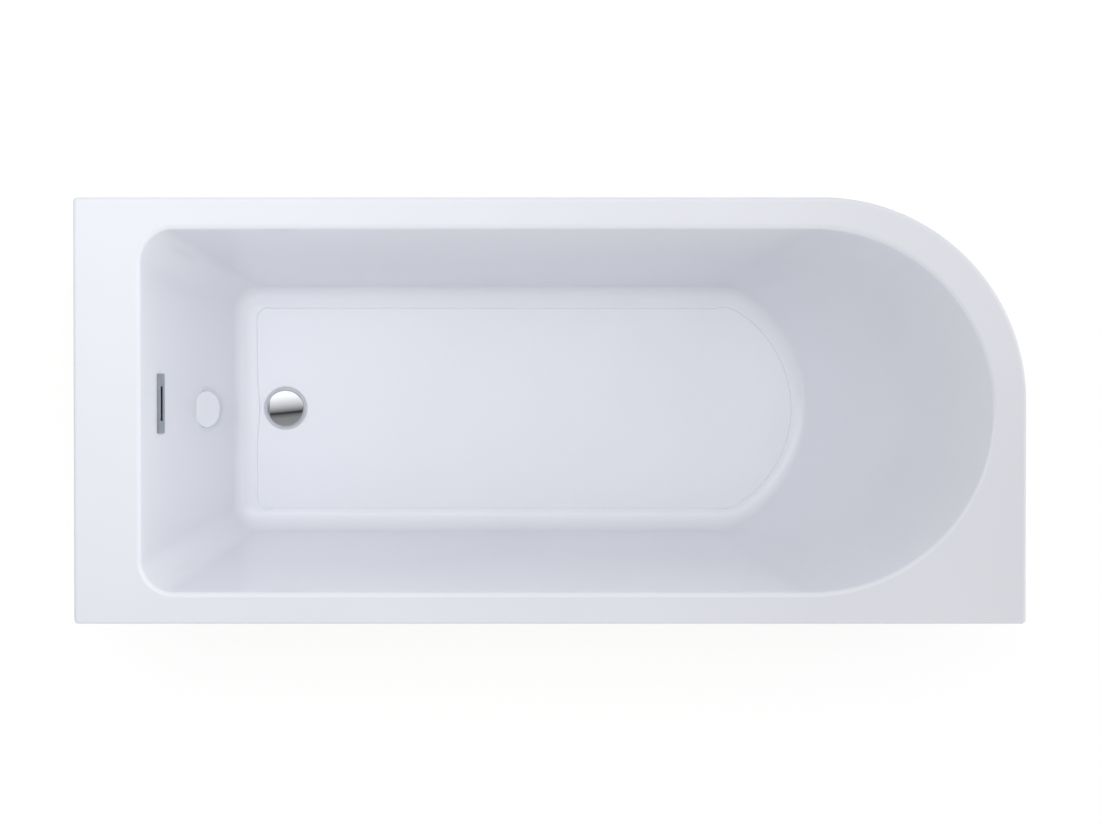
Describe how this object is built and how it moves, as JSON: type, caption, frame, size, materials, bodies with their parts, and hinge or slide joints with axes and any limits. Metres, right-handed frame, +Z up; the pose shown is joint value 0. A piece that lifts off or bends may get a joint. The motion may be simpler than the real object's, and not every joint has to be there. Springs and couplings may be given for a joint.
{
  "type": "shower bath",
  "caption": "Single-ended rectangular shower bath with one large rounded corner, D-shaped head end, click-clack waste, slotted overflow, levelling feet and wrap-round panel.",
  "frame": {"origin": "on the floor under the middle of the rim outer box", "axes": "+Z up; +X from the tap end to the head end; +Y from the wall side to the room side, where the rounded corner is"},
  "size_m": [1.675, 0.75, 0.56],
  "materials": {
    "white_acrylic": "gloss",
    "glass_fibre": "matte",
    "timber": "sawn",
    "zinc_steel": "zinc plated",
    "chrome": "polished",
    "black_rubber": "matte",
    "black_nylon": "matte",
    "white_plastic": "satin",
    "grey_plastic": "satin",
    "satin_metal": "satin"
  },
  "bodies": {
    "bath": {"bath_shell": "white_acrylic", "fibreglass_coat": "glass_fibre", "base_board": "timber", "rim_strip_room": "timber", "rim_strip_wall": "timber", "rim_board_tap": "timber", "rim_strip_head": "timber", "channel_tap": "zinc_steel", "channel_head": "zinc_steel", "channel_screws": "zinc_steel", "centre_plate": "zinc_steel", "plate_screws": "zinc_steel", "weld_nuts": "zinc_steel", "lock_nuts": "zinc_steel", "wall_brackets": "zinc_steel", "bracket_screws": "zinc_steel", "bath_panel": "white_acrylic", "panel_clips": "zinc_steel", "clip_screws": "zinc_steel", "plinth_room": "timber", "plinth_head": "timber", "panel_screws": "zinc_steel", "screw_caps": "white_acrylic", "plug_cartridge": "grey_plastic", "waste_flange": "chrome", "flange_seal": "black_rubber", "body_seal": "black_rubber", "waste_body": "white_plastic", "tail_nut": "white_plastic", "tail_seal": "black_rubber", "trap_body": "white_plastic", "trap_cup": "white_plastic", "trap_cup_seal": "black_rubber", "outlet_nut": "white_plastic", "outlet_seal": "black_rubber", "overflow_cover": "satin_metal", "overflow_seal": "black_rubber", "overflow_body": "white_plastic", "overflow_nuts": "zinc_steel", "overflow_hose": "grey_plastic", "hose_collar_upper": "white_plastic", "hose_collar_lower": "white_plastic"},
    "plug": {"plug": "chrome", "plug_seal": "black_rubber"},
    "foot_tap_wall": {"foot_stud_1": "zinc_steel", "foot_pad_1": "black_nylon"},
    "foot_tap_room": {"foot_stud_2": "zinc_steel", "foot_pad_2": "black_nylon"},
    "foot_head_wall": {"foot_stud_3": "zinc_steel", "foot_pad_3": "black_nylon"},
    "foot_head_room": {"foot_stud_4": "zinc_steel", "foot_pad_4": "black_nylon"},
    "foot_centre": {"foot_stud_5": "zinc_steel", "foot_pad_5": "black_nylon"}
  },
  "joints": [
    {"name": "plug_lift", "type": "slide", "parent": "bath", "child": "plug", "axis": [0, 0, 1], "range_m": [0, 0.009]},
    {"name": "foot_tap_wall_screw", "type": "slide", "parent": "bath", "child": "foot_tap_wall", "axis": [0, 0, -1], "range_m": [-0.01, 0.025]},
    {"name": "foot_tap_room_screw", "type": "slide", "parent": "bath", "child": "foot_tap_room", "axis": [0, 0, -1], "range_m": [-0.01, 0.025]},
    {"name": "foot_head_wall_screw", "type": "slide", "parent": "bath", "child": "foot_head_wall", "axis": [0, 0, -1], "range_m": [-0.01, 0.025]},
    {"name": "foot_head_room_screw", "type": "slide", "parent": "bath", "child": "foot_head_room", "axis": [0, 0, -1], "range_m": [-0.01, 0.025]},
    {"name": "foot_centre_screw", "type": "slide", "parent": "bath", "child": "foot_centre", "axis": [0, 0, -1], "range_m": [-0.005, 0.015]}
  ]
}
